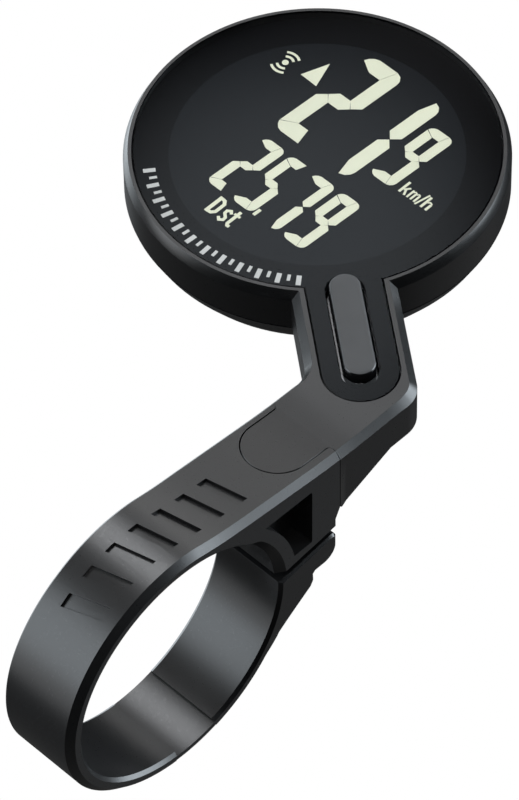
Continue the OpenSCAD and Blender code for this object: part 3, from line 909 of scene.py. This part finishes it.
def screw_bore(radius, low, high, n=48):
    """A round bar on the clamp screw's axis."""
    b = Build()
    around = arc(0, SCREW_Y, radius, 0, 360 - 360 / n, n - 1)
    (foot,) = b.loop([(0, SCREW_Y, low)])
    lower, upper = (b.loop(lifted(around, z)) for z in (low, high))
    (tip,) = b.loop([(0, SCREW_Y, high)])
    b.f += [(foot, lower[(i + 1) % n], lower[i]) for i in range(n)]
    b.skin(lower, upper)
    b.f += [(upper[i], upper[(i + 1) % n], tip) for i in range(n)]
    return b


# Sunk bars on the band's outside: where each starts, its width, lean, reach in x and depth
BAR_STARTS = [-11.2, -7.6, -4.0, -0.4, 3.3, 7.0, 10.6]
BAR_WIDTH, BAR_LEAN, BAR_DEPTH = 1.5, 1.3, 0.45
BAR_X = (-2.6, 2.8)


def top_height(y):
    """Height of the band's and the arm's top."""
    if y <= KNEE[-1][0]:
        return math.sqrt(max(0.0, RING * RING - y * y))
    knots = KNEE[::-1] + [(11, arm_top(11)), (26, arm_top(26))]
    for (a, low), (b, high) in zip(knots, knots[1:]):
        if y <= b:
            return low + (high - low) * (y - a) / (b - a)
    return arm_top(y)


def surface_point(y):
    """The point of the top at y and its outward direction."""
    slope = (top_height(y + 0.2) - top_height(y - 0.2)) / 0.4
    return Vector((y, top_height(y))), Vector((-slope, 1)).normalized()


def bar_cutter(start):
    steps, cuts = 6, 4
    rings = []
    for k, x in enumerate(spaced(*BAR_X, steps)):
        first = start + BAR_LEAN * k / steps
        spots = [surface_point(y) for y in spaced(first, first + BAR_WIDTH, cuts)]
        bottom = [(x, *(p - out * BAR_DEPTH)) for p, out in spots]
        above = [(x, *(p + out * 1.2)) for p, out in spots]
        rings.append(bottom + above[::-1])
    b = Build()
    b.ends(b.stack(rings))
    return b


# Radii of the holes on the screw's axis: in the arm for the screw and round the insert, in
# the jaw for the shank and for the head with its washer
ARM_HOLE, INSERT_HOLE, JAW_HOLE, HEAD_HOLE = 1.65, 2.12, 1.72, 3.05
POCKET_DEPTH = 3.2  # from either side of the arm

arm = make("clamp_arm_body", banded(arm_rows()))
arm_cutters = [
    pocket_cutter(BAND_X - POCKET_DEPTH, BAND_X + 1),
    pocket_cutter(ARM_X - 1, ARM_X + POCKET_DEPTH),
    groove_cutter(0.12),
    screw_bore(ARM_HOLE, 0, 6.8),
    screw_bore(INSERT_HOLE, 0, 5.62),
]
carve(arm, arm_cutters + [bar_cutter(start) for start in BAR_STARTS])
edges(arm, SOFT_ARM)
place(arm, "bracket", "case_plastic", "clamp_arm", PLASTIC)

jaw = make("clamp_jaw_body", banded(turned_round(jaw_rows())))
carve(jaw, [screw_bore(JAW_HOLE, -12, 4), screw_bore(HEAD_HOLE, -12, -2.6, 64)])
edges(jaw, SOFT_JAW)
place(jaw, "jaw", "case_plastic", "clamp_jaw", PLASTIC)

WEB_LAP = 1.2  # how far the web runs into each half
WEB_INNER, WEB_OUTER, WEB_MIDDLE = 16.45, RING - 0.085, 17.3


def build_web():
    """The living hinge: a thinned stretch of the band, cut fine enough to bend."""
    section = [
        (WEB_INNER, -BAND_X + 0.05),
        (WEB_OUTER - 0.2, -BAND_X + 0.03),
        (WEB_OUTER, -BAND_X + 0.22),
        (WEB_OUTER, BAND_X - 0.87),
        (WEB_OUTER - 0.85, BAND_X - 0.02),
        (WEB_INNER, BAND_X - 0.02),
    ]
    rings = []
    for angle in spaced(ARM_END - 360 - WEB_LAP, JAW_END + WEB_LAP, 40):
        turn = math.radians(angle)
        rings.append([(x, r * math.cos(turn), r * math.sin(turn)) for r, x in section])
    b = Build()
    b.ends(b.stack(rings))
    return b


web = make("living_hinge_web", build_web())
web.data.materials.append(PLASTIC)
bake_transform(web)
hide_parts("living_hinge")


# ---- these keep their CAD shape --------------------------------------------------------

FINISHES = {
    "lens_tape": RUBBER,
    "lcd_reflector": FOIL,
    "lcd_frame": WHITE,
    "zebra_strips": RUBBER,
    "pcb": BOARD,
    "processor": CHIP,
    "radio_antenna": CERAMIC,
    "crystal": STEEL,
    "chip_parts": CERAMIC,
    "switch_body": CHIP,
    "switch_plunger": WHITE,
    "button_seal": RUBBER,
    "coin_cell": STEEL,
    "contact_plus": GOLD,
    "contact_minus": GOLD,
    "case_gasket": RUBBER,
    "case_screws": STEEL,
    "cover_o_ring": RUBBER,
    "arm_screws": STEEL,
    "threaded_insert": BRASS,
    "rear_case": BACK,
    "battery_cover": BACK,
    "screw_washer": STEEL,
    "clamp_screw": DARK_STEEL,
}
for name, finish in FINISHES.items():
    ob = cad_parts[name]
    ob.data.materials.clear()
    ob.data.materials.append(finish)
    soften(ob)
    edges(ob, SOFT_INNER)


# ---- floor, light and camera -----------------------------------------------------------

FLOOR_HALF, FLOOR_AT = 3.0, -0.16  # metres


def build_floor():
    """A plain pale floor that only the camera sees, and only from above."""
    mesh = bpy.data.meshes.new("floor")
    s = FLOOR_HALF
    mesh.from_pydata([(-s, -s, 0), (s, -s, 0), (s, s, 0), (-s, s, 0)], [], [(0, 1, 2, 3)])
    floor = bpy.data.objects.new("floor", mesh)
    floor.location.z = FLOOR_AT
    bpy.context.scene.collection.objects.link(floor)
    pale = bpy.data.materials.new("pale_floor")
    shader = Shader(pale)
    camera_ray = shader.add("LightPath").outputs["Is Camera Ray"]
    behind = shader.add("NewGeometry").outputs["Backfacing"]
    seen = shader.add("Math", {0: camera_ray, 1: behind}, "GREATER_THAN").outputs[0]
    clear, glow = shader.add("BsdfTransparent"), shader.add("Emission")
    shader.surface(seen, clear.outputs[0], glow.outputs[0])
    mesh.materials.append(pale)
    return floor


floor = build_floor()

# Soft boxes round the object: direction, angle of the even part, angle where it ends,
# colour, strength
BOXES = [
    ((-0.453, 0.225, 0.863), 9.5, 13.6, (0.95, 0.97, 1), 7.8),
    ((-0.462, 0.462, 0.757), 0.3, 2.5, (0.9, 0.96, 1), 0.75),
    ((-0.60, -0.73, 0.32), 13, 31, (0.86, 0.94, 1), 4.6),
    ((-0.64, -0.75, -0.17), 6, 20, (0.96, 0.98, 1), 2.4),
    ((-0.95, 0.2, -0.2), 12, 38, (0.86, 0.94, 1), 3.0),
    ((0.53, 0.83, 0.17), 16, 29, (0.84, 0.93, 1), 9.0),
    ((0.30, -0.25, 0.92), 6, 14, (1, 1, 1), 7.0),
    ((-0.453, 0.72, 0.52), 8, 19, (1, 1, 1), 2.2),
    ((0.453, 0.445, -0.772), 10, 35, (1, 1, 1), 0.11),
    ((-0.25, -0.15, -0.95), 25, 70, (1, 1, 1), 0.05),
    ((-0.453, -0.418, 0.787), 10, 40, (1, 1, 1), 0.4),
]
BASE_LIGHT = 0.02


def build_light():
    """The soft boxes light the object; the camera sees plain white behind it."""
    world = bpy.data.worlds.new("studio")
    bpy.context.scene.world = world
    shader = Shader(world)
    where = shader.add("TexCoord").outputs["Generated"]
    total = (BASE_LIGHT,) * 3
    for direction, even, end, colour, strength in BOXES:
        middle = Vector(direction).normalized()
        facing = shader.add("VectorMath", {0: where, 1: middle}, "DOT_PRODUCT").outputs["Value"]
        limits = {"From Min": math.cos(math.radians(end)), "From Max": math.cos(math.radians(even))}
        soft = shader.add("MapRange", {"Value": facing, **limits})
        soft.interpolation_type = "SMOOTHSTEP"
        full = [c * strength for c in colour]
        box = shader.add("VectorMath", {0: full, "Scale": soft.outputs["Result"]}, "SCALE")
        total = shader.add("VectorMath", {0: total, 1: box.outputs[0]}, "ADD").outputs[0]
    camera_ray = shader.add("LightPath").outputs["Is Camera Ray"]
    seen = shader.mixed(camera_ray, total, (1, 1, 1, 1))
    shader.feed(shader.nodes["Background"].inputs["Color"], seen)


# The camera fitted to the photo: its place in metres, and its right, down and forward ways
CAMERA_AT = (0.298636, -0.274760, 0.535746)
CAMERA_RIGHT = Vector((0.71205, 0.70200, -0.01344))
CAMERA_DOWN = Vector((0.53610, -0.55594, -0.63524))
CAMERA_AHEAD = Vector((-0.45341, 0.44512, -0.77220))
CAMERA_LENS = 262.14


def build_camera():
    camera = bpy.data.objects.new("camera", bpy.data.cameras.new("camera"))
    camera.data.sensor_fit = "AUTO"
    camera.data.sensor_width = 36
    camera.data.lens = CAMERA_LENS
    camera.data.clip_start, camera.data.clip_end = 0.01, 20
    turn = Matrix((CAMERA_RIGHT, -CAMERA_DOWN, -CAMERA_AHEAD)).transposed().to_4x4()
    camera.matrix_world = Matrix.Translation(CAMERA_AT) @ turn
    bpy.context.scene.collection.objects.link(camera)
    bpy.context.scene.camera = camera


build_light()
build_camera()
bpy.context.scene.view_settings.view_transform = "Standard"

bpy.context.view_layer.update()
